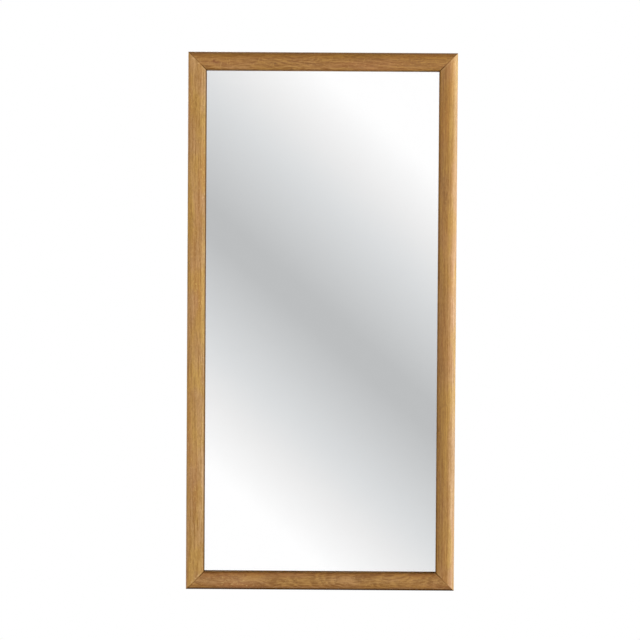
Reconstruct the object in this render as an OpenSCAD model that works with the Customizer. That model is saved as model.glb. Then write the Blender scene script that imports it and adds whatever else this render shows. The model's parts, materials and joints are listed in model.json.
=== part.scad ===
// Wall mirror: a mitred oak frame round a silvered pane, closed at the back by a board under
// turn buttons, and hung from two ring hangers. The front faces -Y, +X is to its right and +Z
// is up. The origin lies on the wall plane, behind the middle of the mirror.

/* [Overall size] */
// Width of the whole frame
overall_w = 600; // [450:10:900]
// Height of the whole frame
overall_h = 1200; // [900:10:1800]

/* [Frame moulding] */
// Width of each member, seen from the front
face_w = 41; // [38:1:60]
// Depth of the frame from its back to its crown
frame_d = 25; // [23:1:32]
// Distance from the outer edge to the crown
crown_in = 22; // [20:1:26]
// Drop from the crown to the sight edge
sight_drop = 6; // [3:0.5:7]
// Distance from the outer edge to where that edge starts to roll over
roll_in = 16; // [12:1:17]
// Drop from the crown to where the outer edge starts to roll over
roll_drop = 0.5; // [0.3:0.1:0.8]
// Radius of the sight edge
sight_r = 2; // [1:0.5:3]
// Width of the rebate that holds the pane
rebate_w = 11; // [8:1:12]

/* [Mitre joints] */
// Distance from the two outer edges to the middle of a loose tenon
tenon_in = 19; // [18:0.5:21]
// Length of a loose tenon across its mitre
tenon_l = 24; // [20:1:26]
// Width of a loose tenon along its mitre
tenon_w = 16; // [12:1:18]
// Thickness of a loose tenon
tenon_t = 5; // [4:0.5:6]
// Wood left between a tenon's mortise and the rebate
tenon_cover = 0.8; // [0.5:0.1:1.2]
// Glue gap all round a tenon
glue_gap = 0.1; // [0.05:0.05:0.2]
// Distance from the two outer edges to the first V-nail
nail_in = 8; // [6:1:10]
// Step from the first V-nail to the second
nail_step = 11; // [9:1:12]
// Length of each arm of a V-nail
nail_arm = 6; // [4:0.5:7]
// Thickness of a V-nail's steel
nail_t = 0.6; // [0.4:0.1:0.8]
// Depth to which a V-nail is driven
nail_d = 7; // [5:0.5:9]

/* [Mirror pane] */
// Thickness of the glass
glass_t = 4; // [3:0.5:6]
// Thickness of the silvering with its paint
silver_t = 0.1; // [0.1:0.05:0.3]
// Thickness of the safety film behind the silvering
film_t = 0.2; // [0.1:0.05:0.4]
// Gap between the pane's edges and the rebate
pane_gap = 2; // [1:0.5:3]
// Thickness of the foam tape between the frame and the pane
tape_t = 1; // [0.5:0.25:2]
// Width of the foam tape
tape_w = 6; // [4:0.5:6]
// Gap between the foam tape and the rebate's side
tape_gap = 1; // [0.5:0.25:1.5]
// Length of a setting block or edge spacer
block_l = 30; // [20:1:50]
// Distance from the rebate's corners to the middle of a setting block
block_in = 135; // [80:5:180]
// Distance from the rebate's corners to the middle of an edge spacer
spacer_in = 170; // [80:5:300]

/* [Back] */
// Thickness of the card sheet behind the pane
packing_t = 1.5; // [1:0.25:3]
// Gap between the card sheet's edges and the rebate
packing_gap = 4; // [2:0.5:6]
// Thickness of the backing board
board_t = 3; // [2.5:0.5:5]
// Gap between the backing board's edges and the rebate
board_gap = 1; // [0.5:0.25:2]
// How far the backing board lies below the frame's back
board_setback = 0.2; // [0:0.1:0.5]

/* [Turn buttons] */
// Length of a turn button
button_l = 25; // [20:1:26]
// Width of a turn button
button_w = 10; // [8:0.5:12]
// Thickness of a turn button
button_t = 1.5; // [1:0.25:2]
// Distance from a turn button's pivot to the edge of the rebate
button_edge = 8; // [7:0.5:10]
// Running gap under a turn button
button_play = 0.1; // [0.1:0.05:0.3]
// Distance from the frame's side to the pivot of a turn button on a rail
rail_button_in = 150; // [90:5:200]
// Distance from the frame's end to the outer turn buttons on a stile
stile_button_in = 200; // [150:5:260]
// Diameter of a turn button's screw
button_screw_d = 3; // [2.5:0.25:3.5]
// Length of that screw in the wood
button_screw_l = 12; // [10:1:14]
// Diameter of that screw's head
button_head_d = 6.5; // [5.5:0.5:8]

/* [Hangers and bumpers] */
// Distance from the top of the frame to where a hook carries a ring
hanger_drop = 300; // [260:10:350]
// Diameter of a ring's wire
ring_wire = 3; // [2.5:0.25:3.5]
// Width inside a ring
ring_in_w = 19; // [17:0.5:20]
// Height inside a ring
ring_in_h = 14; // [14:0.5:18]
// Radius of a ring's two bends, at the middle of the wire
ring_bend = 4; // [3:0.25:4]
// Width of a hanger strap
strap_w = 12; // [9:0.5:13]
// Thickness of the strap's steel, which is folded double
strap_t = 1; // [0.8:0.1:1.2]
// Length of a strap from the ring's axis to its end
strap_l = 31; // [30:1:36]
// Distance from the ring's axis to the strap's first screw
strap_hole = 9; // [8:0.25:10]
// Step from the strap's first screw to its second
strap_step = 15.5; // [15:0.25:17]
// Diameter of a hanger screw
hanger_screw_d = 3.5; // [3:0.25:4]
// Length of a hanger screw in the wood
hanger_screw_l = 14; // [12:1:16]
// Diameter of a hanger screw's head
hanger_head_d = 7; // [6:0.5:7.5]
// Thickness of a wall bumper, and so the gap between frame and wall
bumper_t = 6; // [6:0.5:9]
// Diameter of a wall bumper where it is stuck on
bumper_d = 18; // [14:1:22]
// Diameter of a wall bumper's flat face
bumper_face_d = 14; // [10:1:14]
// Distance from the frame's ends to the middle of a wall bumper
bumper_in = 60; // [45:5:90]

/* [Fits] */
// Gap between a moving pin and its hole, on the radius
running_gap = 0.05; // [0.02:0.01:0.08]
// Gap between a screw and its pilot hole, on the radius
pilot_gap = 0.05; // [0.02:0.01:0.1]
// Gap between a hanger screw and its hole in the strap, on the radius
screw_gap = 0.15; // [0.1:0.05:0.3]
// Height of a screw's head
head_h = 2; // [1.6:0.1:2.2]
// Width of the slots in a screw's head
slot_w = 0.9; // [0.6:0.1:1.2]
// Depth of the slots in a screw's head
slot_d = 1; // [0.6:0.1:1.2]

/* [Hidden] */
$fn = 96;

// The four sides, numbered by their quarter turns about Y, and the corner at the start of each
SIDES = [0, 1, 2, 3];
BOTTOM = SIDES[0];
RIGHT = SIDES[1];
TOP = SIDES[2];
LEFT = SIDES[3];
CORNERS = [[-1, -1], [1, -1], [1, 1], [-1, 1]];
QUARTER = 90;
MITRE = 45;
// How far a cutting shape runs past what it cuts
over = 1;

// The moulding's outline: a slope of one arc inside the crown, and two arcs outside it
inner_run = face_w - crown_in;
inner_r = (pow(inner_run, 2) + pow(sight_drop, 2)) / (2 * sight_drop);
outer_run = crown_in - roll_in;
outer_r = (pow(outer_run, 2) + pow(roll_drop, 2)) / (2 * roll_drop);
roll_tilt = asin(outer_run / outer_r);
roll_r = roll_in / (1 - sin(roll_tilt));
roll_h = frame_d - roll_drop - roll_r * cos(roll_tilt);
sight_in = face_w - sight_r;
sight_h = frame_d - inner_r
  + sqrt(pow(inner_r - sight_r, 2) - pow(sight_in - crown_in, 2));
sight_share = inner_r / (inner_r - sight_r);
sight_start = crown_in + (sight_in - crown_in) * sight_share;

// What lies in the rebate, as heights above the frame's back
board_h = board_setback;
packing_h = board_h + board_t;
film_h = packing_h + packing_t;
silver_h = film_h + film_t;
glass_h = silver_h + silver_t;
tape_h = glass_h + glass_t;
rebate_d = tape_h + tape_t;
land_w = face_w - rebate_w;
opening_w = overall_w - 2 * land_w;
opening_h = overall_h - 2 * land_w;
tenon_h = rebate_d + tenon_cover + glue_gap + tenon_t / 2;

// Screws, turn buttons and hangers. The shares are of a screw's length and of its diameters
point_share = 0.3;
tip_share = 0.25;
head_flat_share = 0.75;
slot_share = 0.6;
pilot_extra = 0.5;
button_hole_r = button_screw_d / 2 + running_gap;
button_in = land_w - button_edge;
button_top = button_play + button_t;
hole_r = ring_wire / 2 + running_gap;
knuckle_r = hole_r + strap_t;
land_middle = land_w / 2;
ring_r = (ring_in_w + ring_wire) / 2;
ring_leg = ring_wire / 2 + ring_in_h - ring_in_w / 2;
ring_axis_z = overall_h / 2 - hanger_drop - ring_wire / 2 - ring_in_h;
// How far below the ring's axis the strap's second layer leaves the fold
layer_off = knuckle_r - strap_t - strap_t / 2;
fold_z = sqrt(pow(hole_r + strap_t / 2, 2) - pow(layer_off, 2));
stile_button_z = overall_h / 2 - stile_button_in;
rail_button_x = overall_w / 2 - rail_button_in;
bumper_z = overall_h / 2 - bumper_in;

OAK = "#b5854c";
BEECH = "#d9b88a";
STEEL = "#a9adb0";
RUBBER = "#2c2c2e";
FOAM = "#4a4b4d";

function is_rail(side) = side == BOTTOM || side == TOP;
function span_of(side) = is_rail(side) ? overall_h : overall_w;
function length_of(side) = is_rail(side) ? overall_w : overall_h;
// A place along a side, from the row's own X or Z
function along(side, at) = side == TOP || side == LEFT ? -at : at;

// Puts a shape on a side: its X runs along the side, its Z inwards from the outer edge, and
// its Y starts at the frame's back
module on_side(side) {
  rotate([0, -QUARTER * side, 0])
    translate([0, -bumper_t, -span_of(side) / 2])
      children();
}

// Puts a shape at a corner: its X and Z run inwards, and its Y starts at the frame's back
module at_corner(i) {
  translate([CORNERS[i][0] * overall_w / 2, -bumper_t, CORNERS[i][1] * overall_h / 2])
    rotate([0, -QUARTER * i, 0])
      children();
}

// A slab of the pane's build-up: centred, with its rear face at a height above the back
module sheet(w, h, t, height) {
  translate([-w / 2, -bumper_t - height - t, -h / 2])
    cube([w, t, h]);
}

// A strip with round ends, from one centre to the other along X
module stadium(length, width) {
  translate([0, -width / 2])
    square([length, width]);
  circle(d = width);
  translate([length, 0])
    circle(d = width);
}

// The moulding's section: X inwards from the outer edge, Y forwards from the back
module moulding() {
  difference() {
    union() {
      square([roll_in, roll_h]);
      intersection() {
        translate([roll_r, roll_h])
          circle(r = roll_r);
        translate([0, roll_h])
          square([roll_in, frame_d]);
      }
      intersection() {
        translate([crown_in, frame_d - outer_r])
          circle(r = outer_r);
        translate([roll_in, 0])
          square([outer_run, frame_d + over]);
      }
      intersection() {
        translate([crown_in, frame_d - inner_r])
          circle(r = inner_r);
        translate([crown_in, 0])
          square([sight_start - crown_in, frame_d + over]);
      }
      translate([sight_start, 0])
        square([face_w - sight_start, sight_h]);
      intersection() {
        translate([sight_in, sight_h])
          circle(r = sight_r);
        translate([sight_start, sight_h])
          square([face_w - sight_start, frame_d]);
      }
    }
    translate([land_w, -over])
      square([rebate_w + over, rebate_d + over]);
  }
}

// A mitred bar of the moulding, before its holes
module bar(length) {
  intersection() {
    translate([-length / 2, 0, 0])
      rotate([0, -QUARTER, 2 * QUARTER])
        linear_extrude(length)
          moulding();
    translate([0, over, 0])
      rotate([QUARTER, 0, 0])
        linear_extrude(frame_d + 2 * over)
          polygon([
            [-length / 2, 0], [length / 2, 0],
            [length / 2 - face_w, face_w], [face_w - length / 2, face_w]
          ]);
  }
}

// A loose tenon across a mitre, or its mortise with a gap all round
module tenon(gap) {
  half = (tenon_w - tenon_t) / 2;
  translate([tenon_in, -tenon_h, tenon_in])
    rotate([0, -MITRE, 0])
      translate([-half, 0, 0])
        linear_extrude(tenon_l + 2 * gap, center = true)
          stadium(2 * half, tenon_t + 2 * gap);
}

// A V-nail, whose two arms reach into the two members from the mitre line
module v_nail(at) {
  translate([at, 0, at])
    rotate([QUARTER, 0, 0])
      linear_extrude(nail_d)
        union() {
          square([nail_arm, nail_t]);
          square([nail_t, nail_arm]);
        }
}

module corner_nails(i) {
  at_corner(i) {
    v_nail(nail_in);
    v_nail(nail_in + nail_step);
  }
}

// A screw driven forwards into the wood from a seat behind the frame's back
module wood_screw(d, length, head_d, seat) {
  point = length * point_share;
  difference() {
    rotate([QUARTER, 0, 0])
      union() {
        translate([0, 0, -seat])
          cylinder(d = d, h = seat + length - point);
        translate([0, 0, length - point])
          cylinder(d1 = d, d2 = d * tip_share, h = point);
        translate([0, 0, -seat - head_h / 2])
          cylinder(d = head_d, h = head_h / 2);
        translate([0, 0, -seat - head_h])
          cylinder(d1 = head_d * head_flat_share, d2 = head_d, h = head_h / 2);
      }
    for (turn = [0, QUARTER])
      rotate([0, MITRE + turn, 0])
        translate([-head_d * slot_share / 2, seat + head_h - slot_d, -slot_w / 2])
          cube([head_d * slot_share, slot_d + over, slot_w]);
  }
}

module pilot(d, length) {
  rotate([QUARTER, 0, 0])
    translate([0, 0, -over])
      cylinder(r = d / 2 + pilot_gap, h = length + over + pilot_extra);
}

// The pivots of the turn buttons on one side
module at_buttons(side) {
  places = is_rail(side)
    ? [-rail_button_x, rail_button_x]
    : [-stile_button_z, 0, stile_button_z];
  for (at = places)
    on_side(side)
      translate([at, 0, button_in])
        children();
}

// The places of a stile's two hanger screws
module at_hanger_screws(side) {
  for (step = [0, strap_step])
    on_side(side)
      translate([along(side, ring_axis_z - strap_hole - step), 0, land_middle])
        children();
}

module frame_member(side) {
  color(OAK)
    difference() {
      on_side(side)
        bar(length_of(side));
      for (i = [side, (side + 1) % len(SIDES)]) {
        at_corner(i)
          tenon(glue_gap);
        corner_nails(i);
      }
      at_buttons(side)
        pilot(button_screw_d, button_screw_l);
      if (!is_rail(side))
        at_hanger_screws(side)
          pilot(hanger_screw_d, hanger_screw_l);
    }
}

module mitre_tenon(i) {
  color(BEECH)
    at_corner(i)
      tenon(0);
}

module corner_v_nails() {
  color(STEEL)
    for (i = SIDES)
      corner_nails(i);
}

// The tapes on the rails run the full width, and those on the stiles fit between them
module glazing_tape(side) {
  inset = land_w + tape_gap;
  shorter = is_rail(side) ? inset : inset + tape_w;
  length = length_of(side) - 2 * shorter;
  color(FOAM)
    on_side(side)
      translate([-length / 2, -rebate_d, inset])
        cube([length, tape_t, tape_w]);
}

module glass_pane() {
  color("#dfe9e6", 0.5)
    sheet(opening_w - 2 * pane_gap, opening_h - 2 * pane_gap, glass_t, glass_h);
}

module silver_coat() {
  color("#d3d6d8")
    sheet(opening_w - 2 * pane_gap, opening_h - 2 * pane_gap, silver_t, silver_h);
}

module safety_film() {
  color("#7f8a93")
    sheet(opening_w - 2 * pane_gap, opening_h - 2 * pane_gap, film_t, film_h);
}

// A block that fills the gap between the pane's edge and the rebate
module edge_block(side, at) {
  on_side(side)
    translate([at - block_l / 2, -glass_h - glass_t, land_w])
      cube([block_l, glass_t, pane_gap]);
}

module setting_blocks() {
  reach = opening_w / 2 - block_in;
  color(RUBBER)
    for (at = [-reach, reach])
      edge_block(BOTTOM, at);
}

module edge_spacers() {
  reach = opening_h / 2 - spacer_in;
  color("#e6e6e2")
    for (side = [LEFT, RIGHT], at = [-reach, reach])
      edge_block(side, at);
}

module packing_sheet() {
  color("#f1f1ee")
    sheet(opening_w - 2 * packing_gap, opening_h - 2 * packing_gap, packing_t, packing_h);
}

module backing_board() {
  color("#8a6a4a")
    sheet(opening_w - 2 * board_gap, opening_h - 2 * board_gap, board_t, board_h);
}

// A turn button, whose tab reaches inwards over the backing board
module turn_button(side, at) {
  color(STEEL)
    on_side(side)
      translate([along(side, at), button_top, button_in])
        rotate([QUARTER, -QUARTER, 0])
          linear_extrude(button_t)
            difference() {
              stadium(button_l - button_w, button_w);
              circle(r = button_hole_r);
            }
}

module turn_button_screws() {
  color(STEEL)
    for (side = SIDES)
      at_buttons(side)
        wood_screw(button_screw_d, button_screw_l, button_head_d, button_top + button_play);
}

// Puts a shape at a ring's axis: its X runs along the ring's pin, its Y starts at the
// frame's back and its Z is up
module at_ring(side) {
  sign = side == LEFT ? -1 : 1;
  translate([sign * (overall_w / 2 - land_middle), -bumper_t, ring_axis_z])
    children();
}

// The strap is one strip, folded round the ring's pin and back on itself
module hanger_strap(side) {
  color(STEEL)
    at_ring(side)
      difference() {
        intersection() {
          translate([-strap_w / 2, 0, 0])
            rotate([QUARTER, 0, QUARTER])
              linear_extrude(strap_w)
                difference() {
                  union() {
                    translate([knuckle_r, 0])
                      circle(r = knuckle_r);
                    translate([0, -strap_l])
                      square([strap_t, strap_l - strap_t / 2]);
                    translate([strap_t, -strap_l])
                      square([strap_t, strap_l - fold_z]);
                  }
                  translate([knuckle_r, 0])
                    circle(r = hole_r);
                }
          translate([0, 2 * knuckle_r + over, strap_w / 2 - strap_l])
            rotate([QUARTER, QUARTER, 0])
              linear_extrude(2 * knuckle_r + 2 * over)
                union() {
                  circle(d = strap_w);
                  translate([-strap_l - strap_w, -strap_w / 2])
                    square([strap_l + strap_w, strap_w]);
                }
        }
        for (step = [0, strap_step])
          translate([0, 2 * knuckle_r, -strap_hole - step])
            rotate([QUARTER, 0, 0])
              cylinder(r = hanger_screw_d / 2 + screw_gap, h = 2 * knuckle_r + over);
      }
}

// A quarter or half turn of the ring's wire, in the plane of the wall
module wire_bend(r, angle) {
  rotate([QUARTER, 0, 0])
    rotate_extrude(angle = angle)
      translate([r, 0])
        circle(d = ring_wire);
}

// The ring stands up as it does on its hook: a pin in the strap, two bends, two legs and a bow
module hanger_ring(side) {
  reach = ring_r - ring_bend;
  color(STEEL)
    at_ring(side)
      translate([0, knuckle_r, 0])
        union() {
          translate([-reach, 0, 0])
            rotate([0, QUARTER, 0])
              cylinder(d = ring_wire, h = 2 * reach);
          translate([reach, 0, ring_bend])
            rotate([0, QUARTER, 0])
              wire_bend(ring_bend, QUARTER);
          translate([-reach, 0, ring_bend])
            rotate([0, 2 * QUARTER, 0])
              wire_bend(ring_bend, QUARTER);
          for (x = [-ring_r, ring_r])
            translate([x, 0, ring_bend])
              cylinder(d = ring_wire, h = ring_leg - ring_bend);
          translate([0, 0, ring_leg])
            wire_bend(ring_r, 2 * QUARTER);
        }
}

module hanger_screws() {
  color(STEEL)
    for (side = [LEFT, RIGHT])
      at_hanger_screws(side)
        wood_screw(hanger_screw_d, hanger_screw_l, hanger_head_d, 2 * strap_t);
}

module wall_bumper(x_sign, z_sign) {
  color(RUBBER)
    translate([x_sign * (overall_w / 2 - land_middle), 0, z_sign * bumper_z])
      rotate([QUARTER, 0, 0])
        cylinder(d1 = bumper_face_d, d2 = bumper_d, h = bumper_t);
}

frame_member(TOP);  // top_rail
frame_member(BOTTOM);  // bottom_rail
frame_member(LEFT);  // left_stile
frame_member(RIGHT);  // right_stile
mitre_tenon(BOTTOM);  // mitre_tenon_bottom_left
mitre_tenon(RIGHT);  // mitre_tenon_bottom_right
mitre_tenon(TOP);  // mitre_tenon_top_right
mitre_tenon(LEFT);  // mitre_tenon_top_left
corner_v_nails();
glazing_tape(TOP);  // glazing_tape_top
glazing_tape(BOTTOM);  // glazing_tape_bottom
glazing_tape(LEFT);  // glazing_tape_left
glazing_tape(RIGHT);  // glazing_tape_right
glass_pane();
silver_coat();
safety_film();
setting_blocks();
edge_spacers();
packing_sheet();
backing_board();
turn_button(LEFT, stile_button_z);  // turn_button_left_top
turn_button(LEFT, 0);  // turn_button_left_middle
turn_button(LEFT, -stile_button_z);  // turn_button_left_bottom
turn_button(RIGHT, stile_button_z);  // turn_button_right_top
turn_button(RIGHT, 0);  // turn_button_right_middle
turn_button(RIGHT, -stile_button_z);  // turn_button_right_bottom
turn_button(TOP, -rail_button_x);  // turn_button_top_left
turn_button(TOP, rail_button_x);  // turn_button_top_right
turn_button(BOTTOM, -rail_button_x);  // turn_button_bottom_left
turn_button(BOTTOM, rail_button_x);  // turn_button_bottom_right
turn_button_screws();
hanger_strap(LEFT);  // hanger_strap_left
hanger_strap(RIGHT);  // hanger_strap_right
hanger_ring(LEFT);  // hanger_ring_left
hanger_ring(RIGHT);  // hanger_ring_right
hanger_screws();
wall_bumper(-1, 1);  // wall_bumper_top_left
wall_bumper(1, 1);  // wall_bumper_top_right
wall_bumper(-1, -1);  // wall_bumper_bottom_left
wall_bumper(1, -1);  // wall_bumper_bottom_right
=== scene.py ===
"""Wall mirror: the looks of a mitred oak frame round a silvered pane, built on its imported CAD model.

Lengths are in metres. The front faces -Y, +X is to the right of someone who looks at the mirror,
+Z is up, and the origin lies on the wall plane.
"""

import json
import math

import bmesh
import bpy
from mathutils import Matrix, Vector


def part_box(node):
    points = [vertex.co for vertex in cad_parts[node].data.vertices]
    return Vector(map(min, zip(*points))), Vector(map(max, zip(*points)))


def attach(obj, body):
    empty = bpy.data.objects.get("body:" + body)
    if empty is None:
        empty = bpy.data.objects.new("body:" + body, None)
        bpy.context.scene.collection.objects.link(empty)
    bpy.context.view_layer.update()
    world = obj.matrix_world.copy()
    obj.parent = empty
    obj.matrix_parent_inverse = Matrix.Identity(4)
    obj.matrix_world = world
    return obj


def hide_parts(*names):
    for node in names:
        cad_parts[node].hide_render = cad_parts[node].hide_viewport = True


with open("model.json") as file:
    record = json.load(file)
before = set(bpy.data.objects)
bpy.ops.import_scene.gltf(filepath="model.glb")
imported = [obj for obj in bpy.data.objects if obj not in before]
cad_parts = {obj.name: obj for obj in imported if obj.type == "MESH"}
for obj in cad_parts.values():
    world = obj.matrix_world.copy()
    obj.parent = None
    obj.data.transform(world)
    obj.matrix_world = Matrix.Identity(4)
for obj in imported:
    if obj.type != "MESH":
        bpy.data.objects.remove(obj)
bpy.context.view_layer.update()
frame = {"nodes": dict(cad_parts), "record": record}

# The frame's size and the pane's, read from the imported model
RAIL_LOW, RAIL_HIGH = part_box("top_rail")
OUTER_W = RAIL_HIGH.x - RAIL_LOW.x
OUTER_H = 2 * RAIL_HIGH.z
FACE_W = RAIL_HIGH.z - RAIL_LOW.z
FRAME_D = RAIL_HIGH.y - RAIL_LOW.y
BACK_Y = RAIL_HIGH.y
REBATE_D = BACK_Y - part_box("glazing_tape_top")[0].y
GLASS_LOW, GLASS_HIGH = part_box("glass_pane")

# The camera: its place, its turn to the left, its tilt up, its roll and its lens
CAMERA_AT = Vector((0.0139, -5.0, 0.1487))
CAMERA_YAW = 0.00345
CAMERA_PITCH = -0.02889
CAMERA_ROLL = 0.00640
LENS_MM = 125.745
SENSOR_MM = 36.0

# A colour mix's inputs and output, by their number in the node
MIX_FACTOR = 0
MIX_FIRST = 6
MIX_SECOND = 7
MIX_RESULT = 2

WHITE = (1.0, 1.0, 1.0)
BLACK = (0.0, 0.0, 0.0)


def grey(level):
    return (level, level, level)


# Nodes

class Shader:
    """A material's or world's node tree, with one short call for each kind of node."""

    def __init__(self, owner):
        owner.use_nodes = True
        self.owner = owner
        self.tree = owner.node_tree
        self.tree.nodes.clear()

    def add(self, kind, inputs=None, **settings):
        made = self.tree.nodes.new("ShaderNode" + kind)
        for name, value in settings.items():
            setattr(made, name, value)
        for name, value in (inputs or {}).items():
            self.put(made.inputs[name], value)
        return made

    def put(self, socket, value):
        """Links an input to an output, or sets the input's own value."""
        if isinstance(value, bpy.types.NodeSocket):
            self.tree.links.new(value, socket)
        elif socket.type == "RGBA" and len(value) == 3:
            socket.default_value = (*value, 1.0)
        else:
            socket.default_value = value

    def math(self, operation, *values, clamp=False):
        made = self.add("Math", dict(enumerate(values)), operation=operation, use_clamp=clamp)
        return made.outputs[0]

    def plus(self, a, b):
        return self.math("ADD", a, b)

    def minus(self, a, b):
        return self.math("SUBTRACT", a, b)

    def times(self, a, b):
        return self.math("MULTIPLY", a, b)

    def larger(self, a, b):
        return self.math("MAXIMUM", a, b)

    def absolute(self, value):
        return self.math("ABSOLUTE", value)

    def vector(self, operation, *values):
        made = self.add("VectorMath", dict(enumerate(values)), operation=operation)
        return made.outputs["Value" if operation in ("LENGTH", "DISTANCE") else "Vector"]

    def moved(self, place, by):
        return self.vector("ADD", place, by)

    def scaled(self, place, factors):
        return self.vector("MULTIPLY", place, factors)

    def split(self, place):
        return self.add("SeparateXYZ", {0: place}).outputs[:3]

    def join(self, x, y, z):
        return self.add("CombineXYZ", {0: x, 1: y, 2: z}).outputs[0]

    def noise(self, place, scale=1.0, detail=2.0, roughness=0.5, output="Fac"):
        inputs = {"Vector": place, "Scale": scale, "Detail": detail, "Roughness": roughness}
        return self.add("TexNoise", inputs).outputs[output]

    def cells(self, place):
        """The distance to the nearest of many scattered points, about one in each unit cube."""
        return self.add("TexVoronoi", {"Vector": place, "Scale": 1.0}).outputs["Distance"]

    def remap(self, value, low, high, to_low=0.0, to_high=1.0):
        inputs = {"Value": value, "From Min": low, "From Max": high, "To Min": to_low, "To Max": to_high}
        return self.add("MapRange", inputs, interpolation_type="SMOOTHSTEP").outputs["Result"]

    def mix(self, factor, a, b, mode="MIX"):
        made = self.add("Mix", data_type="RGBA", blend_type=mode)
        for index, value in ((MIX_FACTOR, factor), (MIX_FIRST, a), (MIX_SECOND, b)):
            self.put(made.inputs[index], value)
        return made.outputs[MIX_RESULT]

    def bump(self, height, distance, strength):
        inputs = {"Height": height, "Distance": distance, "Strength": strength}
        return self.add("Bump", inputs).outputs[0]

    def finish(self, shader, kind):
        """Links the last shader to the tree's output, and returns what the tree belongs to."""
        output = self.add(kind)
        self.tree.links.new(shader.outputs[0], output.inputs["Surface"])
        return self.owner

    def surface(self, inputs):
        return self.finish(self.add("BsdfPrincipled", inputs), "OutputMaterial")


def new_material(name):
    return Shader(bpy.data.materials.new(name))


def object_place(s):
    return s.add("TexCoord").outputs["Object"]


# Oak. Each member is its own board, which these values set apart:
# - grain, seed: the axis that the grain runs along, and the board's own place in the noise
# - pith, lean: where the log's heart lies, across and through the board, and how much it leans
# - spacing, wander, reach: a ring's width, and how finely and how far the rings wander
# - flow, curl, streak: how finely and how far the fibres wander, and how many streaks follow each
#   other in a metre of grain
# - depth, figure, patchy: how dark the wood is, and how strong its figure and its clouds are
# - rays, ticks, cast: how strong its ray figure, its cross ticks and its changes of hue are
# - outer_painted_light, tone, inner_painted_light, inner_reach: the painted light and shade at the
#   outer edge, its own tone in the middle, the painted light and shade at the sight edge, and how
#   far out from there the last one reaches. The painted light and shade stand in for the light
#   that the rolling and sloping face catches or misses
# - rim_painted_shade, lip_painted_shade, wall, catch: how dark the painted shade along its rim and
#   its lip is, how strong the painted light on the wall under the lip is, and how strong the
#   painted highlight is that the wood beside the mitres catches
# - knots: the places of its pin knots as x and z, each with its reach along x and z

GRAIN_X = "x"
GRAIN_Z = "z"
RAIL = {
    "grain": GRAIN_X,
    "spacing": 0.0022,
    "wander": (11.0, 11.0, 6.0),
    "reach": (0.008, 0.016, 0.0),
    "flow": (9.0, 9.0, 8.0),
    "curl": 0.030,
    "streak": 11.0,
    "figure": 0.95,
    "patchy": 0.46,
    "ticks": 0.60,
    "cast": 0.65,
    "inner_reach": 0.016,
    "wall": 0.8,
    "catch": 0.12,
}
STILE = {
    "grain": GRAIN_Z,
    "spacing": 0.0024,
    "wander": (7.0, 7.0, 1.6),
    "reach": (0.014, 0.010, 0.0),
    "lean": 0.0,
    "flow": (9.0, 9.0, 3.0),
    "curl": 0.008,
    "streak": 7.0,
    "patchy": 0.28,
    "cast": 1.0,
    "rim_painted_shade": 0.0,
}
BOARDS = {
    "top": RAIL | {
        "seed": 1,
        "pith": (0.604, 0.030),
        "lean": 0.04,
        "depth": 0.51,
        "rays": 0.35,
        # Painted shade on the roll that faces up, and a little painted light on the slope at the sight edge
        "outer_painted_light": (0.75, 0.69, 0.44),
        "tone": (0.90, 0.81, 0.42),
        "inner_painted_light": (0.94, 0.90, 0.70),
        "rim_painted_shade": 0.1,
        "lip_painted_shade": 0.30,
        "knots": [((-0.2374, 0.5778), (0.0062, 0.0038)), ((-0.2425, 0.5790), (0.0016, 0.0012))],
    },
    "bottom": RAIL | {
        "seed": 2,
        "pith": (-0.580, 0.014),
        "lean": -0.07,
        "spacing": 0.0027,
        "wander": (15.0, 15.0, 11.0),
        "reach": (0.012, 0.018, 0.0),
        "flow": (9.0, 9.0, 10.0),
        "curl": 0.044,
        "depth": 0.50,
        "rays": 0.80,
        # Painted shade on the roll that faces down, and on the slope that faces up at the sight edge
        "outer_painted_light": (0.79, 0.69, 0.55),
        "tone": (0.97, 0.95, 0.67),
        "inner_painted_light": (0.74, 0.62, 0.34),
        # Deep painted shade along the rim underneath
        "rim_painted_shade": 1.0,
        "lip_painted_shade": 0.65,
    },
    "left": STILE | {
        "seed": 3,
        "pith": (-0.46, 0.05),
        "depth": 0.44,
        "figure": 0.85,
        "rays": 0.50,
        "ticks": 0.55,
        # Painted light, strongest on the slope at the sight edge, which faces the light at the right
        "outer_painted_light": (1.19, 1.23, 0.99),
        "tone": (1.12, 1.17, 0.88),
        "inner_painted_light": (1.32, 1.54, 1.60),
        "inner_reach": 0.016,
        "lip_painted_shade": 0.80,
        "wall": 0.2,
        "catch": 0.75,
    },
    "right": STILE | {
        "seed": 4,
        "pith": (0.43, 0.07),
        "depth": 0.50,
        "figure": 0.74,
        "rays": 0.22,
        "ticks": 0.30,
        # A painted highlight on the outer roll, and painted shade on the slope at the sight edge
        "outer_painted_light": (1.10, 1.32, 1.62),
        "tone": (1.05, 1.04, 0.62),
        "inner_painted_light": (0.80, 0.74, 0.30),
        "inner_reach": 0.023,
        "lip_painted_shade": 0.55,
        "wall": 0.8,
        "catch": 0.25,
    },
}

# The wood's colours, with a dark brown for its marks and for painted shade and a bright brown for
# painted light, and the two hues that it wanders between
OAK_LIGHT = (0.479, 0.251, 0.0815)
OAK_DARK = (0.256, 0.103, 0.0065)
OAK_RED = (0.390, 0.155, 0.040)
OAK_GOLD = (0.640, 0.400, 0.150)
OAK_PORE = (0.080, 0.030, 0.008)
# Dark brown for the wood's dark ticks and seams, and for the painted shade along the rim and the lip
OAK_MARKS_AND_PAINTED_SHADE = (0.120, 0.052, 0.013)
OAK_KNOT = (0.240, 0.075, 0.002)
# A bright warm brown, painted light on the wall under the sight edge's lip
OAK_WALL_PAINTED_LIGHT = (0.620, 0.280, 0.050)
CAST_ROSY = (0.99, 0.98, 1.27)
CAST_OLIVE = (1.01, 1.02, 0.76)

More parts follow.
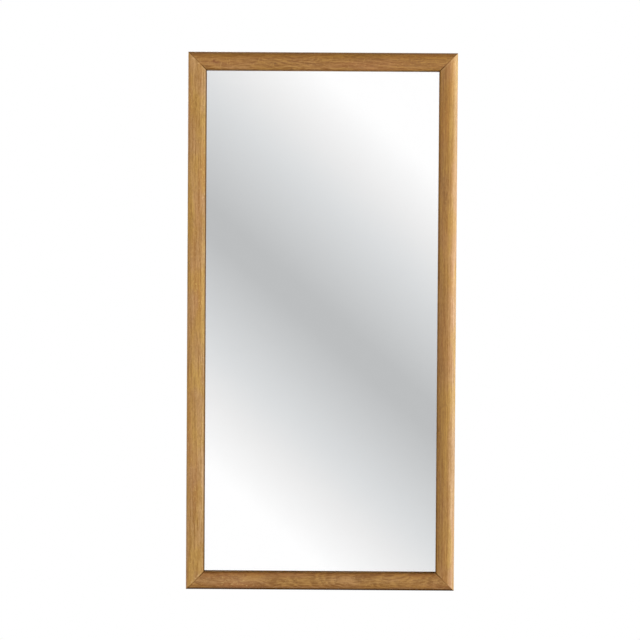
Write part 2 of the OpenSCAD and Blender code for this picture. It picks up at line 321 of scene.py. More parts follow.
# How far apart the boards lie in the noise, and where in it the parts of the figure are drawn
SEED_STEP = Vector((0.37, 0.61, 1.73))
WARM_AT = (3.1, 0.7, 0.2)
RAYS_AT = (0.9, 0.4, 0.3)
TICKS_AT = (0.2, 1.9, 0.6)
CAST_AT = (1.7, 0.2, 0.9)

# Where in a ring the early wood, with its open pores, sets in and where it ends
EARLY_STARTS = (0.0, 0.22)
EARLY_ENDS = (0.40, 0.85)

# How finely and how far the edges of the rings are feathered
FEATHER_SCALE = (260.0, 260.0, 26.0)
FEATHER_REACH = (0.0030, 0.0030, 0.0)

# How strongly each part of the figure darkens the wood, and how strongly the marks colour it
FIGURE_SHARES = {"early": 0.40, "ring_tone": 0.14, "streaks": 0.50, "fibres": 0.52, "flecks": 0.38}
WARM_SHARE = 0.45
DARK_TICK_SHARE = 0.40
LIGHT_TICK_SHARE = 0.50
PORE_SHARE = 0.45
DASH_SHARE = 0.50
KNOT_SHARE = 0.92

# The oiled surface: how high its fibres stand and how deep its early wood lies, as shares of a
# pore's depth, how rough it is between and in the streaks, how much rougher in a pore, its gloss,
# and how deep its relief is
FIBRE_HEIGHT = 0.12
EARLY_DEPTH = 0.15
OIL_ROUGHNESS = (0.54, 0.62)
PORE_ROUGHNESS = 0.15
OIL_GLOSS = 0.50
OAK_RELIEF = 0.00006

# From the outer edge inwards: where the rim's painted shade and the outer painted light and shade
# fade away, where the inner painted light and shade and the lip's painted shade are full, and
# where the wall under the lip starts
RIM_SHADE = (0.0038, 0.0066)
OUTER_PAINTED_LIGHT_ENDS = 0.024
INNER_PAINTED_LIGHT_FULL = FACE_W - 0.001
LIP_SHADE = (FACE_W - 0.0026, FACE_W - 0.0006)
WALL_STARTS = (FACE_W - 0.0003, FACE_W - 0.0001)

# The mitre's dark seam is wider and less broken near the sight edge and near the outer corner, and
# the wood beside it has a painted highlight, where its edge would catch the light
SEAM_HALF = 0.0009
SEAM_EXTRA = 0.0011
SEAM_SOLID_IN = (0.025, 0.033)
SEAM_SOLID_OUT = (0.007, 0.014)
CATCH_STARTS = (0.0014, 0.0034)
CATCH_ENDS = (0.0040, 0.0078)


def timber_place(s, grain):
    """The place in a board, as across the face, through its depth and along the grain."""
    x, y, z = s.split(object_place(s))
    return s.join(z, y, x) if grain == GRAIN_X else s.join(x, y, z)


def grained(s, place, across, along, **kind):
    """Noise drawn out along the grain, with so many features in a metre across and along it."""
    return s.noise(s.scaled(place, (across, across, along)), **kind)


def spread(s, noise):
    """Noise, which keeps near its middle, stretched to reach from 0 to 1."""
    return s.remap(noise, 0.36, 0.64)


def dots(s, place, across, along, core, rim):
    """1 in the core of small dots that are drawn out along the grain, and 0 past their rim."""
    return s.remap(s.cells(s.scaled(place, (across, across, along))), core, rim, 1.0, 0.0)


def shift(s, place, scale, reach, detail=2.0):
    """A shift that wanders by up to half the reach to either side."""
    drawn = s.noise(s.scaled(place, scale), detail=detail, output="Color")
    return s.scaled(s.vector("SUBTRACT", drawn, (0.5, 0.5, 0.5)), reach)


def ring_count(s, timber, seeded, board):
    """How many rings lie between the heart of the log, which wanders, and a place in the board."""
    drift = shift(s, seeded, board["wander"], board["reach"])
    feather = shift(s, seeded, FEATHER_SCALE, FEATHER_REACH, detail=3.0)
    across, depth, along = s.split(s.moved(s.moved(timber, drift), feather))
    depth = s.plus(depth, s.times(along, board["lean"]))
    radius = s.vector("DISTANCE", s.join(across, depth, 0.0), (*board["pith"], 0.0))
    return s.math("DIVIDE", radius, board["spacing"])


def oak_figure(s, timber, seeded, board):
    """The parts of a board's figure by name, each from 0 to 1."""
    rings = ring_count(s, timber, seeded, board)
    phase = s.math("FRACT", rings)
    early = s.minus(s.remap(phase, *EARLY_STARTS), s.remap(phase, *EARLY_ENDS))
    tone = s.add("TexWhiteNoise", {"W": s.math("FLOOR", rings)}, noise_dimensions="1D")
    flow = s.moved(seeded, shift(s, seeded, board["flow"], (board["curl"], board["curl"], 0.0)))
    fibres = grained(s, flow, across=430.0, along=3 * board["streak"], detail=4.0, roughness=0.7)
    streaks = grained(s, flow, across=260.0, along=board["streak"], detail=3.0, roughness=0.6)
    flecks = grained(s, flow, across=560.0, along=120.0)
    patches = grained(s, seeded, across=34.0, along=9.0, detail=3.0)
    warm = grained(s, s.moved(seeded, WARM_AT), across=38.0, along=5.0)
    pores = dots(s, seeded, across=1500.0, along=95.0, core=0.18, rim=0.32)
    dashes = dots(s, seeded, across=330.0, along=60.0, core=0.10, rim=0.22)
    rays = s.remap(grained(s, s.moved(seeded, RAYS_AT), across=330.0, along=130.0, detail=1.0), 0.60, 0.72)
    return {
        "early": early,
        "ring_tone": tone.outputs["Value"],
        "fibres": spread(s, fibres),
        "streaks": spread(s, streaks),
        "flecks": spread(s, flecks),
        "patches": patches,
        "warm": warm,
        "pores": s.times(pores, s.plus(0.10, s.times(early, 0.90))),
        "dashes": s.times(dashes, s.remap(patches, 0.50, 0.66)),
        "rays": s.times(rays, s.remap(warm, 0.48, 0.66)),
        "ticks": grained(s, s.moved(seeded, TICKS_AT), across=120.0, along=420.0, detail=1.0),
    }


def knots(s, places):
    """1 in the dark crescent round a pin knot's lower left, for a few places on the face."""
    place = object_place(s)
    x, _, z = s.split(place)
    wobble = s.noise(s.scaled(place, (330.0, 330.0, 520.0)))
    wobble = s.times(s.minus(wobble, 0.5), 0.7)
    total = 0.0
    for (at_x, at_z), (reach_x, reach_z) in places:
        off = s.vector("SUBTRACT", s.join(x, 0.0, z), (at_x, 0.0, at_z))
        off = s.moved(s.scaled(off, (1 / reach_x, 0.0, 1 / reach_z)), s.join(wobble, 0.0, wobble))
        dark = s.remap(s.vector("LENGTH", off), 0.7, 1.4, 1.0, 0.0)
        from_heart = s.vector("LENGTH", s.vector("SUBTRACT", off, (0.30, 0.0, 0.45)))
        total = s.plus(total, s.times(dark, s.remap(from_heart, 0.2, 1.2)))
    return total


def oak_colour(s, seeded, figure, board):
    """The wood's colour before its tones: light to dark by its figure, with its marks laid over."""
    dark = board["depth"]
    for part, share in (FIGURE_SHARES | {"patches": board["patchy"]}).items():
        dark = s.plus(dark, s.times(s.minus(figure[part], 0.5), share * board["figure"]))
    colour = s.mix(s.math("ADD", dark, 0.0, clamp=True), OAK_LIGHT, OAK_DARK)
    ticks = figure["ticks"]
    marks = [
        (s.remap(figure["warm"], 0.42, 0.70, 0.0, WARM_SHARE), OAK_RED),
        (s.times(figure["rays"], board["rays"]), OAK_GOLD),
        (s.remap(ticks, 0.66, 0.74, 0.0, DARK_TICK_SHARE * board["ticks"]), OAK_MARKS_AND_PAINTED_SHADE),
        (s.remap(ticks, 0.26, 0.34, LIGHT_TICK_SHARE * board["ticks"], 0.0), OAK_GOLD),
        (s.times(figure["pores"], PORE_SHARE), OAK_PORE),
        (s.times(figure["dashes"], DASH_SHARE), OAK_PORE),
    ]
    if "knots" in board:
        dark = s.math("MULTIPLY", knots(s, board["knots"]), KNOT_SHARE, clamp=True)
        marks.append((dark, OAK_KNOT))
    for share, paint in marks:
        colour = s.mix(share, colour, paint)
    cast = grained(s, s.moved(seeded, CAST_AT), across=34.0, along=10.0)
    cast = s.mix(s.remap(cast, 0.38, 0.62), CAST_ROSY, CAST_OLIVE)
    return s.mix(board["cast"], colour, cast, "MULTIPLY")


def inwards_of(s):
    """The distance from the frame's nearest outer edge, and how far off the mitre planes."""
    x, _, z = s.split(object_place(s))
    from_side = s.minus(OUTER_W / 2, s.absolute(x))
    from_end = s.minus(OUTER_H / 2, s.absolute(z))
    return s.math("MINIMUM", from_side, from_end), s.absolute(s.minus(from_side, from_end))


def toned_with_painted_light(s, colour, inwards, board):
    """The colour times the board's tone and its painted light and shade at the outer and sight edges."""
    # Painted light and shade towards the outer edge and the sight edge, round the board's own tone
    tone = s.mix(s.remap(inwards, 0.0, OUTER_PAINTED_LIGHT_ENDS), board["outer_painted_light"], board["tone"])
    inner = s.remap(inwards, FACE_W - board["inner_reach"], INNER_PAINTED_LIGHT_FULL)
    return s.mix(1.0, colour, s.mix(inner, tone, board["inner_painted_light"]), "MULTIPLY")


def mitre_seam(s, seeded, inwards, off_mitre):
    """How dark a mitre's line is. It is chipped and broken in the middle of the face."""
    ends = s.larger(s.remap(inwards, *SEAM_SOLID_IN), s.remap(inwards, *SEAM_SOLID_OUT, 0.7, 0.0))
    chips = s.noise(seeded, scale=260.0)
    broken = s.larger(s.remap(chips, 0.36, 0.58, 0.40, 0.85), ends)
    half_width = s.plus(s.times(ends, SEAM_EXTRA), SEAM_HALF)
    seam = s.math("DIVIDE", off_mitre, half_width)
    return s.times(s.remap(seam, 0.25, 1.0, 1.0, 0.0), broken)


def mitre_painted_highlight(s, seeded, off_mitre, board):
    """The painted highlight beside a mitre, where the wood would catch the light, in spots along it."""
    starts = s.remap(off_mitre, *CATCH_STARTS)
    beside = s.math("SUBTRACT", starts, s.remap(off_mitre, *CATCH_ENDS), clamp=True)
    return s.times(beside, s.remap(s.noise(seeded, scale=150.0), 0.48, 0.58, 0.0, board["catch"]))


def oak(name, board):
    """A board's oiled wood: painted shade on its rim and lip, painted light on the wall under the lip,
    and a painted highlight and a dark seam at the mitres.
    """
    s = new_material(name)
    timber = timber_place(s, board["grain"])
    seeded = s.moved(timber, tuple(SEED_STEP * board["seed"]))
    figure = oak_figure(s, timber, seeded, board)
    inwards, off_mitre = inwards_of(s)
    colour = toned_with_painted_light(s, oak_colour(s, seeded, figure, board), inwards, board)
    # Painted highlight: gold spots beside the mitres, where the edge would catch the light
    colour = s.mix(mitre_painted_highlight(s, seeded, off_mitre, board), colour, OAK_GOLD)
    # Painted shade along the lip at the sight edge and along the rim, laid on with the mitres' dark seams;
    # the gloss drops with them
    lip = s.remap(inwards, *LIP_SHADE, 0.0, board["lip_painted_shade"])
    rim = s.remap(inwards, *RIM_SHADE, board["rim_painted_shade"], 0.0)
    seam_and_painted_shade = s.larger(mitre_seam(s, seeded, inwards, off_mitre), s.larger(lip, rim))
    colour = s.mix(seam_and_painted_shade, colour, OAK_MARKS_AND_PAINTED_SHADE)
    # Painted light on the wall under the lip
    colour = s.mix(s.remap(inwards, *WALL_STARTS, 0.0, board["wall"]), colour, OAK_WALL_PAINTED_LIGHT)
    height = s.minus(s.times(figure["fibres"], FIBRE_HEIGHT), figure["pores"])
    height = s.minus(height, s.times(figure["early"], EARLY_DEPTH))
    streaked = s.remap(figure["streaks"], 0.0, 1.0, *OIL_ROUGHNESS)
    return s.surface({
        "Base Color": colour,
        "Roughness": s.plus(streaked, s.times(figure["pores"], PORE_ROUGHNESS)),
        "Normal": s.bump(height, distance=OAK_RELIEF, strength=0.6),
        "Specular IOR Level": s.times(s.minus(1.0, seam_and_painted_shade), OIL_GLOSS),
    })


# The frame's members, each a bar of the moulding with mitred ends. The outline is the CAD model's

CROWN_IN = 0.022      # from the outer edge to the crown, where the face stands highest
SIGHT_DROP = 0.006    # from the crown down to the sight edge, before its rounding
ROLL_IN = 0.016       # from the outer edge to where the face starts to roll over
ROLL_DROP = 0.0005    # from the crown down to there
SIGHT_R = 0.002       # the sight edge's rounding
REBATE_W = 0.011      # how far the rebate reaches under the face
BACK_EASE = 0.0006    # the bevel on the outer edge at the back
MITRE_EASE = 0.00015  # how far the outline draws in at a mitre, which leaves a fine groove

# The steps of its arcs, and the angle past which an edge stays sharp
ROLL_STEPS = 16
CROWN_STEPS = 5
SLOPE_STEPS = 10
SIGHT_STEPS = 7
SHARP_ANGLE = math.radians(28.0)

# The fits between the wood and what is set into it
GLUE_GAP = 0.0001
PILOT_RADII = {"turn_button_screws": 0.00155, "hanger_screws": 0.0018}
PILOT_EXTRA = 0.0005  # how much deeper a pilot hole is than its screw
PILOT_SIDES = 24
CUT_OVER = 0.001      # how far a cutter stands out of the wood's back
BACK_NEAR = 0.0001    # a corner this near the back counts as lying on it
WELD = 1e-6           # corners this near each other are one


def arc(centre, radius, start, end, steps):
    """Points on an arc, without its first one. Angles are in degrees."""
    angles = [math.radians(start + (end - start) * i / steps) for i in range(1, steps + 1)]
    return [centre + radius * Vector((math.cos(a), math.sin(a))) for a in angles]


def arc_radius(run, drop):
    return (run ** 2 + drop ** 2) / (2 * drop)


def moulding():
    """The outline as (inwards from the outer edge, forwards from the back), clockwise."""
    outer_run = CROWN_IN - ROLL_IN
    outer_r = arc_radius(outer_run, ROLL_DROP)
    inner_r = arc_radius(FACE_W - CROWN_IN, SIGHT_DROP)
    roll_tilt = math.asin(outer_run / outer_r)
    roll_r = ROLL_IN / (1 - math.sin(roll_tilt))
    roll_h = FRAME_D - ROLL_DROP - roll_r * math.cos(roll_tilt)
    sight_in = FACE_W - SIGHT_R
    sight_h = FRAME_D - inner_r + math.sqrt((inner_r - SIGHT_R) ** 2 - (sight_in - CROWN_IN) ** 2)
    tilt = math.degrees(roll_tilt)
    sight_tilt = math.degrees(math.asin((sight_in - CROWN_IN) / (inner_r - SIGHT_R)))
    land_w = FACE_W - REBATE_W
    points = [Vector((BACK_EASE, 0.0)), Vector((0.0, BACK_EASE)), Vector((0.0, roll_h))]
    points += arc(Vector((roll_r, roll_h)), roll_r, 180, 90 + tilt, ROLL_STEPS)
    points += arc(Vector((CROWN_IN, FRAME_D - outer_r)), outer_r, 90 + tilt, 90, CROWN_STEPS)
    points += arc(Vector((CROWN_IN, FRAME_D - inner_r)), inner_r, 90, 90 - sight_tilt, SLOPE_STEPS)
    points += arc(Vector((sight_in, sight_h)), SIGHT_R, 90 - sight_tilt, 0, SIGHT_STEPS)
    points += [Vector((FACE_W, REBATE_D)), Vector((land_w, REBATE_D)), Vector((land_w, 0.0))]
    return points


def eased(points, by):
    """The outline drawn in by a small amount."""
    result = []
    for before, at, after in zip(points[-1:] + points[:-1], points, points[1:] + points[:1]):
        ins = [Vector((d.y, -d.x)).normalized() for d in (at - before, after - at)]
        result.append(at + by * (ins[0] + ins[1]) / (1 + ins[0].dot(ins[1])))
    return result


def on_side(side, along, forwards, inwards):
    """A place on one side of the frame, from along it, forwards of the back and inwards."""
    y = BACK_Y - forwards
    return {
        "top": Vector((along, y, OUTER_H / 2 - inwards)),
        "bottom": Vector((along, y, inwards - OUTER_H / 2)),
        "left": Vector((inwards - OUTER_W / 2, y, along)),
        "right": Vector((OUTER_W / 2 - inwards, y, along)),
    }[side]


def as_mesh(name, bm):
    mesh = bpy.data.meshes.new(name)
    bm.to_mesh(mesh)
    bm.free()
    return mesh


def in_scene(name, data):
    made = bpy.data.objects.new(name, data)
    bpy.context.scene.collection.objects.link(made)
    return made


def member_mesh(side, length):
    """A mitred bar. Its ends are eased, so that a fine groove shows where two members meet."""
    outline = moulding()
    inner = eased(outline, MITRE_EASE)
    back_off = MITRE_EASE * math.sqrt(2)
    bm = bmesh.new()
    rings = []
    sections = ((-1, inner, 0), (-1, outline, back_off), (1, outline, back_off), (1, inner, 0))
    for sign, points, off in sections:
        places = [on_side(side, sign * (length / 2 - p.x - off), p.y, p.x) for p in points]
        rings.append([bm.verts.new(place) for place in places])
    for a, b in zip(rings, rings[1:]):
        for i in range(len(outline)):
            j = (i + 1) % len(outline)
            bm.faces.new((a[i], a[j], b[j], b[i]))
    bm.faces.new(rings[0])
    bm.faces.new(rings[-1])
    bmesh.ops.recalc_face_normals(bm, faces=bm.faces)
    return as_mesh("plain", bm)


def welded_copy(node):
    """A CAD node's mesh as one closed skin, to cut with."""
    bm = bmesh.new()
    bm.from_mesh(frame["nodes"][node].data)
    bmesh.ops.remove_doubles(bm, verts=bm.verts, dist=WELD)
    bmesh.ops.recalc_face_normals(bm, faces=bm.faces)
    return bm


def islands(bm):
    """The separate solids of a mesh in its own order, as lists of their corners' places."""
    seen = set()
    found = []
    for start in bm.verts:
        if start in seen:
            continue
        seen.add(start)
        solid = [start]
        for vert in solid:  # this list grows until its last corner brings no new one
            others = [edge.other_vert(vert) for edge in vert.link_edges]
            fresh = [other for other in others if other not in seen]
            seen.update(fresh)
            solid += fresh
        found.append([v.co.copy() for v in solid])
    return found


def add_to(cut, bm):
    """Adds a working mesh to the holes, and frees it."""
    mesh = as_mesh("part_of_cut", bm)
    cut.from_mesh(mesh)
    bpy.data.meshes.remove(mesh)


def nail_slots(cut):
    """The nails, drawn out past the wood's back, so that they cut through it."""
    nails = welded_copy("corner_v_nails")
    for vert in nails.verts:
        if vert.co.y > BACK_Y - BACK_NEAR:
            vert.co.y = BACK_Y + CUT_OVER
    add_to(cut, nails)


def tenon_mortises(cut):
    """The tenons, grown by the glue gap. At each corner of a tenon a side meets an end squarely."""
    for node in sorted(n for n in frame["nodes"] if n.startswith("mitre_tenon")):
        tenon = welded_copy(node)
        tenon.normal_update()
        for vert, normal in [(v, v.normal.copy()) for v in tenon.verts]:
            vert.co += normal * GLUE_GAP * math.sqrt(2)
        add_to(cut, tenon)


def pilot_holes(cut):
    """A round hole for each screw, a little deeper than the screw."""
    for node, radius in PILOT_RADII.items():
        screws = welded_copy(node)
        for solid in islands(screws):
            x = (min(p.x for p in solid) + max(p.x for p in solid)) / 2
            z = (min(p.z for p in solid) + max(p.z for p in solid)) / 2
            deep = min(p.y for p in solid) - PILOT_EXTRA
            length = BACK_Y + CUT_OVER - deep
            turned = Matrix.Translation((x, deep + length / 2, z)) @ Matrix.Rotation(math.pi / 2, 4, "X")
            bmesh.ops.create_cone(
                cut,
                cap_ends=True,
                segments=PILOT_SIDES,
                radius1=radius,
                radius2=radius,
                depth=length,
                matrix=turned,
            )
        screws.free()


def holes():
    """What is set into the wood from the back and across the mitres, as one mesh of holes."""
    cut = bmesh.new()
    nail_slots(cut)
    tenon_mortises(cut)
    pilot_holes(cut)
    return as_mesh("cut", cut)


def show(name, mesh, material, replaced):
    """A new piece of the mirror, in place of a CAD node."""
    piece = in_scene(name, mesh)
    mesh.materials.clear()
    mesh.materials.append(material)
    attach(piece, "mirror")
    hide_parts(replaced)


def member(side, board, cutter):
    """One member with the holes cut out of it. Rails have their grain across, stiles upwards."""
    is_rail = board["grain"] == GRAIN_X
    node = side + ("_rail" if is_rail else "_stile")
    plain = in_scene("plain", member_mesh(side, OUTER_W if is_rail else OUTER_H))
    cut = plain.modifiers.new("cut", "BOOLEAN")
    cut.object = cutter
    cut.operation = "DIFFERENCE"
    cut.solver = "EXACT"
    mesh = bpy.data.meshes.new_from_object(plain.evaluated_get(bpy.context.evaluated_depsgraph_get()))
    mesh.name = node + "_wood"
    bpy.data.objects.remove(plain)
    mesh.polygons.foreach_set("use_smooth", [True] * len(mesh.polygons))
    mesh.set_sharp_from_angle(angle=SHARP_ANGLE)
    mesh.update()
    show(node + "_wood", mesh, oak("oak_" + side, board), node)


def frame_members():
    cutter = in_scene("cutter", holes())
    for side, board in BOARDS.items():
        member(side, board, cutter)
    bpy.data.objects.remove(cutter)


# The pane

AIR_GAP = 0.00005  # between the glass and the silvering
ARRIS = 0.0006     # the bevel on the glass's edges
ARRIS_STEPS = 2
GREEN_RIM = 0.006  # how far in from its edges the glass looks green
GLASS_IOR = 1.52


def glass():
    """Clear glass, which looks green near its edges."""
    clear = (0.995, 1.0, 0.998)
    green = (0.72, 0.90, 0.83)
    s = new_material("float_glass")
    x, _, z = s.split(object_place(s))
    from_side = s.minus(GLASS_HIGH.x, s.absolute(x))
    from_end = s.minus(GLASS_HIGH.z, s.absolute(z))
    edge = s.remap(s.math("MINIMUM", from_side, from_end), 0.0, GREEN_RIM, 1.0, 0.0)
    return s.surface({
        "Base Color": s.mix(edge, clear, green),
        "Roughness": 0.0,
        "IOR": GLASS_IOR,
        "Transmission Weight": 1.0,
    })


def silver():
    """A true mirror, with a very faint cloud in its tone."""
    dim = (0.975, 0.966, 0.972)
    bright = (0.985, 0.976, 0.980)
    s = new_material("silvering")
    cloud = s.noise(object_place(s), scale=9.0, detail=3.0)
    return s.surface({"Base Color": s.mix(cloud, dim, bright), "Metallic": 1.0, "Roughness": 0.0})


def pane():
    """The glass, with its edges arrised, a hair in front of the silvering."""
    low = GLASS_LOW
    high = GLASS_HIGH - Vector((0, AIR_GAP, 0))
    bm = bmesh.new()
    bmesh.ops.create_cube(bm, size=1.0)
    for vert in bm.verts:
        vert.co = Vector(far if at > 0 else near for at, near, far in zip(vert.co, low, high))
    bmesh.ops.bevel(bm, geom=bm.edges, offset=ARRIS, segments=ARRIS_STEPS, affect="EDGES")
    show("mirror_glass", as_mesh("mirror_glass", bm), glass(), "glass_pane")


# What the back and the inside are made of

def beech():
    """Bare beech, with its short dark flecks."""
    pale = (0.72, 0.50, 0.28)
    dark = (0.60, 0.40, 0.22)
    fleck = (0.45, 0.27, 0.13)
    s = new_material("beech")
    place = object_place(s)
    flecks = s.remap(s.cells(s.scaled(place, (900.0, 900.0, 500.0))), 0.1, 0.4, 1.0, 0.0)
    grain = s.noise(s.scaled(place, (300.0, 300.0, 60.0)), detail=3.0)
    colour = s.mix(s.times(flecks, 0.3), s.mix(grain, pale, dark), fleck)
    relief = s.bump(grain, distance=0.0001, strength=0.4)
    return s.surface({"Base Color": colour, "Roughness": 0.6, "Normal": relief})


def steel(name, colour, stain, rough):
    """Plated or bare sheet steel, with a faint cloud in the plating and rubbing marks."""
    s = new_material(name)
    place = object_place(s)
    cloud = s.noise(place, scale=220.0, detail=4.0, roughness=0.6)
    rubbed = s.noise(s.scaled(place, (2600.0, 2600.0, 240.0)))
    clouded = s.remap(cloud, 0.3, 0.7, rough - 0.06, rough + 0.08)
    return s.surface({
        "Base Color": s.mix(s.remap(cloud, 0.35, 0.7), colour, stain),
        "Metallic": 1.0,
        "Roughness": s.plus(clouded, s.times(rubbed, 0.08)),
        "Normal": s.bump(rubbed, distance=0.00002, strength=0.35),
    })


def rubber(name, colour, dust, scale):
    """Matt rubber or foam with a fine grit and a film of dust in places."""
    s = new_material(name)
    place = object_place(s)
    grit = s.noise(place, scale, detail=4.0, roughness=0.65)
    dusty = s.noise(place, scale / 14)
    return s.surface({
        "Base Color": s.mix(s.remap(dusty, 0.35, 0.75, 0.0, 0.5), colour, dust),
        "Roughness": s.remap(grit, 0.3, 0.7, 0.62, 0.82),
        "Normal": s.bump(grit, distance=0.00008, strength=0.5),
    })


def screen(s, radians_per_m):
    """The relief of a fine woven screen, from -1 to 1."""
    x, _, z = s.split(object_place(s))
    warp = s.math("SINE", s.times(x, radians_per_m))
    weft = s.math("SINE", s.times(z, radians_per_m))
    return s.times(warp, weft)


def hardboard():
    """Pressed board, whose back shows the press's fine screen and loose fibres."""
    brown = (0.315, 0.188, 0.098)
    dark = (0.185, 0.100, 0.048)
    cloudy = (0.235, 0.148, 0.080)
    chip = (0.10, 0.052, 0.026)
    s = new_material("hardboard")
    place = object_place(s)
    fibres = s.noise(s.scaled(place, (420.0, 420.0, 420.0)), detail=5.0, roughness=0.7)
    chips = s.remap(s.cells(s.scaled(place, (360.0, 360.0, 190.0))), 0.08, 0.30, 1.0, 0.0)
    cloud = s.noise(place, scale=7.0, detail=3.0)
    colour = s.mix(s.remap(cloud, 0.35, 0.7, 0.0, 0.35), s.mix(fibres, brown, dark), cloudy)
    colour = s.mix(s.times(chips, 0.35), colour, chip)
    height = s.plus(s.times(screen(s, 3100.0), 0.5), fibres)
    relief = s.bump(height, distance=0.00012, strength=0.5)
    return s.surface({"Base Color": colour, "Roughness": 0.68, "Normal": relief})


def card():
    """Packing card, with its flutes faintly showing through."""
    pale = (0.52, 0.39, 0.26)
    dark = (0.40, 0.29, 0.185)
    s = new_material("packing_card")
    place = object_place(s)
    flutes = s.math("SINE", s.times(s.split(place)[0], 1900.0))
    pulp = s.noise(place, scale=900.0, detail=4.0, roughness=0.7)
    height = s.plus(s.times(flutes, 0.3), pulp)
    return s.surface({
        "Base Color": s.mix(pulp, pale, dark),
        "Roughness": 0.85,
        "Normal": s.bump(height, distance=0.0001, strength=0.3),
    })


def film():
    """A thin film with a fine weave pressed into it."""
    dark = (0.20, 0.24, 0.28)
    pale = (0.27, 0.31, 0.35)
    s = new_material("safety_film")
    weave = screen(s, 2400.0)
    colour = s.mix(s.remap(weave, -1.0, 1.0), dark, pale)
    relief = s.bump(weave, distance=0.00004, strength=0.4)
    return s.surface({"Base Color": colour, "Roughness": 0.45, "Normal": relief})


def plastic():
    """Off-white moulded plastic."""
    pale = (0.76, 0.76, 0.73)
    dark = (0.70, 0.70, 0.67)
    s = new_material("spacer_plastic")
    grit = s.noise(object_place(s), scale=1500.0, detail=3.0)
    colour = s.mix(grit, pale, dark)
    relief = s.bump(grit, distance=0.00003, strength=0.4)
    return s.surface({"Base Color": colour, "Roughness": 0.5, "Normal": relief})


def finishes():
    """The finish of each material slot whose CAD nodes stay."""
    return {
        "zinc_steel": steel("zinc_plate", colour=(0.66, 0.67, 0.68), stain=(0.60, 0.59, 0.53), rough=0.34),
        "beech": beech(),
        "nail_steel": steel("nail_steel", colour=(0.40, 0.40, 0.41), stain=(0.26, 0.25, 0.24), rough=0.42),
        "foam_tape": rubber("foam_tape", colour=(0.060, 0.060, 0.063), dust=grey(0.10), scale=2400.0),
        "silver": silver(),
        "film": film(),
        "block_rubber": rubber("block_rubber", colour=(0.022, 0.022, 0.023), dust=grey(0.04), scale=1400.0),
        "spacer_plastic": plastic(),
        "card": card(),
        "hardboard": hardboard(),
        "bumper_rubber": rubber(
            "bumper_rubber", colour=(0.028, 0.028, 0.030), dust=(0.075, 0.072, 0.068), scale=1600.0
        ),
    }


def dress_nodes():
    """Gives every CAD node that stays its own finish."""
    made = finishes()
    for part in frame["record"]["subparts"]:
        node = frame["nodes"][part["node"]]
        if part["material_slot"] in made and not node.hide_render:
            node.data.materials.clear()
            node.data.materials.append(made[part["material_slot"]])


# The studio. The mirror shows a dark strip between two bright screens

STRIP_AT = Vector((-0.247, -0.011, 0.222))  # a point of the mirror that the strip crosses
STRIP_FALL = 0.88                           # how steeply it falls to the right
STRIP_REACH = 0.4185                        # from its middle to where the screens turn white
STRIP_TONE = 0.730                          # how light it looks in its middle
STRIP_GAIN = 0.272                          # how much lighter it looks at its end
STRIP_FLAT = 0.06                           # the share of its reach where it stays the same
STRIP_CAST = (0.979, 1.0, 1.013)
LOOK_POWER = 2.25                           # turns how light a tone looks into how much light it is
SCREEN_WHITE = 1.035
ROOM_GREY = (0.62, 0.63, 0.64)              # what the mirror shows away from the screens

# The light on the wood: how strong it is in front, how much stronger from the left and from
# below, and how strong the glow behind is
BAND_LIGHT = 1.72
LEFT_EXTRA = 0.20
BELOW_EXTRA = 0.30
BACK_GLOW = 0.06

# The floor lies well below the mirror, as it does under one that hangs on a wall
FLOOR_Z = -1.5
FLOOR_R = 4.2
FLOOR_SIDES = 96


def strip_distance(s, direction):
    """How far a direction lies from the middle of the strip, as a share of the strip's reach."""
    x, y, z = s.split(direction)
    ahead = s.larger(s.times(y, -1.0), 0.001)
    from_camera = STRIP_AT - CAMERA_AT
    side = s.minus(s.math("DIVIDE", x, ahead), from_camera.x / from_camera.y)
    rise = s.minus(s.math("DIVIDE", z, ahead), from_camera.z / from_camera.y)
    steep = math.hypot(1.0, STRIP_FALL)
    off = s.plus(s.times(side, STRIP_FALL / steep), s.times(rise, 1.0 / steep))
    return s.math("DIVIDE", s.absolute(off), STRIP_REACH / -CAMERA_AT.y)


def screens(s, direction):
    """The two white screens and the soft, slightly cool grey strip between them."""
    off = strip_distance(s, direction)
    look = s.math("ADD", s.times(s.larger(off, STRIP_FLAT), STRIP_GAIN), STRIP_TONE, clamp=True)
    light = s.mix(s.math("POWER", look, LOOK_POWER), BLACK, grey(SCREEN_WHITE))
    cast = s.mix(s.remap(off, 0.45, 0.75, 1.0, 0.0), WHITE, STRIP_CAST)
    return s.mix(1.0, light, cast, "MULTIPLY")


def surroundings(s, direction):
    """What the gloss and the steel see besides the screens: a dim room, lighter behind the object
    and above, with a bright wall at the right."""
    low = (0.32, 0.32, 0.33)
    high = grey(0.78)
    dim = grey(0.22)
    bright_wall = grey(2.1)
    its_far_end = grey(0.85)
    x, y, z = s.split(direction)
    behind = s.mix(s.remap(z, -0.8, 0.8), low, high)
    around = s.mix(s.remap(y, 0.1, 0.6), dim, behind)
    beside = s.mix(s.remap(y, 0.35, 0.65), bright_wall, its_far_end)
    return s.mix(s.remap(x, 0.3, 0.65), around, beside)


def room_light(s, direction):
    """What lights the wood: a broad low band of light in front, a little stronger from the left
    and from below, and a dim glow behind."""
    x, y, z = s.split(direction)
    band = s.remap(s.times(y, -1.0), -0.65, 0.90, 0.0, BAND_LIGHT)
    low = s.remap(s.absolute(z), 0.27, 0.72, 1.0, 0.0)
    left = s.times(s.larger(s.times(x, -1.0), 0.0), LEFT_EXTRA)
    below = s.times(z, -BELOW_EXTRA)
    light = s.times(s.times(band, low), s.plus(s.plus(left, below), 1.0))
    light = s.plus(light, s.remap(y, 0.0, 0.6, 0.0, BACK_GLOW))
    return s.join(light, light, light)


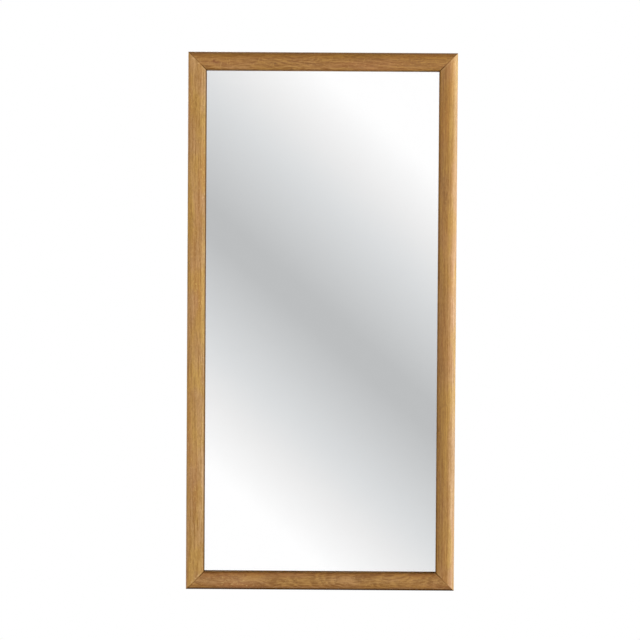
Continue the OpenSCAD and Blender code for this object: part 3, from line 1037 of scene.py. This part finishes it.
def studio():
    """White for the camera, the screens and their surroundings for the gloss, soft light for the
    rest, and through the glass the screens, with plain grey away from them."""
    world = bpy.data.worlds.new("studio")
    bpy.context.scene.world = world
    s = Shader(world)
    direction = s.add("TexCoord").outputs["Generated"]
    _, y, z = s.split(direction)
    in_front = s.remap(y, -0.40, -0.05, 1.0, 0.0)
    seen = s.mix(in_front, surroundings(s, direction), screens(s, direction))
    away = s.larger(s.remap(y, -0.98, -0.80), s.remap(s.absolute(z), 0.155, 0.24))
    path = s.add("LightPath").outputs
    light = s.mix(path["Is Glossy Ray"], room_light(s, direction), seen)
    light = s.mix(path["Is Transmission Ray"], light, s.mix(away, seen, ROOM_GREY))
    light = s.mix(path["Is Camera Ray"], light, WHITE)
    s.finish(s.add("Background", {"Color": light, "Strength": 1.0}), "OutputWorld")


def lamp(name, at, aim, size, radiance):
    """A soft area lamp of even brightness, which the camera doesn't see."""
    data = bpy.data.lights.new(name, "AREA")
    data.shape = "RECTANGLE"
    data.size, data.size_y = size
    data.energy = radiance * math.pi * size[0] * size[1]
    made = in_scene(name, data)
    made.location = at
    made.rotation_euler = (Vector(aim) - Vector(at)).to_track_quat("-Z", "Y").to_euler()
    made.visible_camera = False


def floor_material():
    """Pale and matt near the object, and plain white towards the rim."""
    s = new_material("floor")
    place = object_place(s)
    grain = s.noise(place, scale=60.0, detail=3.0)
    matt = s.add("BsdfDiffuse", {"Color": s.mix(grain, grey(0.80), grey(0.83))})
    glow = s.mix(s.add("LightPath").outputs["Is Transmission Ray"], WHITE, ROOM_GREY)
    white = s.add("Emission", {"Color": glow, "Strength": 1.0})
    from_middle = s.vector("LENGTH", s.scaled(place, (1.0, 1.0, 0.0)))
    rim = s.remap(from_middle, FLOOR_R * 0.3, FLOOR_R * 0.97, 0.55, 1.0)
    blend = s.add("MixShader", {0: rim, 1: matt.outputs[0], 2: white.outputs[0]})
    return s.finish(blend, "OutputMaterial")


def floor():
    """A pale floor, which keeps the object's shadow."""
    bm = bmesh.new()
    bmesh.ops.create_circle(bm, cap_ends=True, segments=FLOOR_SIDES, radius=FLOOR_R)
    for vert in bm.verts:
        vert.co.z = FLOOR_Z
    piece = in_scene("floor", as_mesh("floor", bm))
    piece.data.materials.append(floor_material())
    piece.visible_diffuse = False


def camera():
    """The photograph's view, from straight in front and a little above the middle."""
    data = bpy.data.cameras.new("camera")
    data.lens = LENS_MM
    data.sensor_width = SENSOR_MM
    made = in_scene("camera", data)
    turn = Matrix.Rotation(CAMERA_YAW, 4, "Z") @ Matrix.Rotation(math.pi / 2 + CAMERA_PITCH, 4, "X")
    turn = turn @ Matrix.Rotation(CAMERA_ROLL, 4, "Z")
    made.matrix_world = Matrix.Translation(CAMERA_AT) @ turn
    bpy.context.scene.camera = made


camera()
frame_members()
pane()
dress_nodes()
studio()
lamp("side_softbox", at=(1.896, -0.02, 0.25), aim=(0.3, -0.03, 0.25), size=(0.56, 2.2), radiance=9.6)
lamp("back_softbox", at=(-0.9, 3.0, 1.2), aim=(0.0, 0.0, 0.0), size=(1.6, 1.6), radiance=7.6)
floor()
bpy.context.scene.view_settings.view_transform = "Standard"
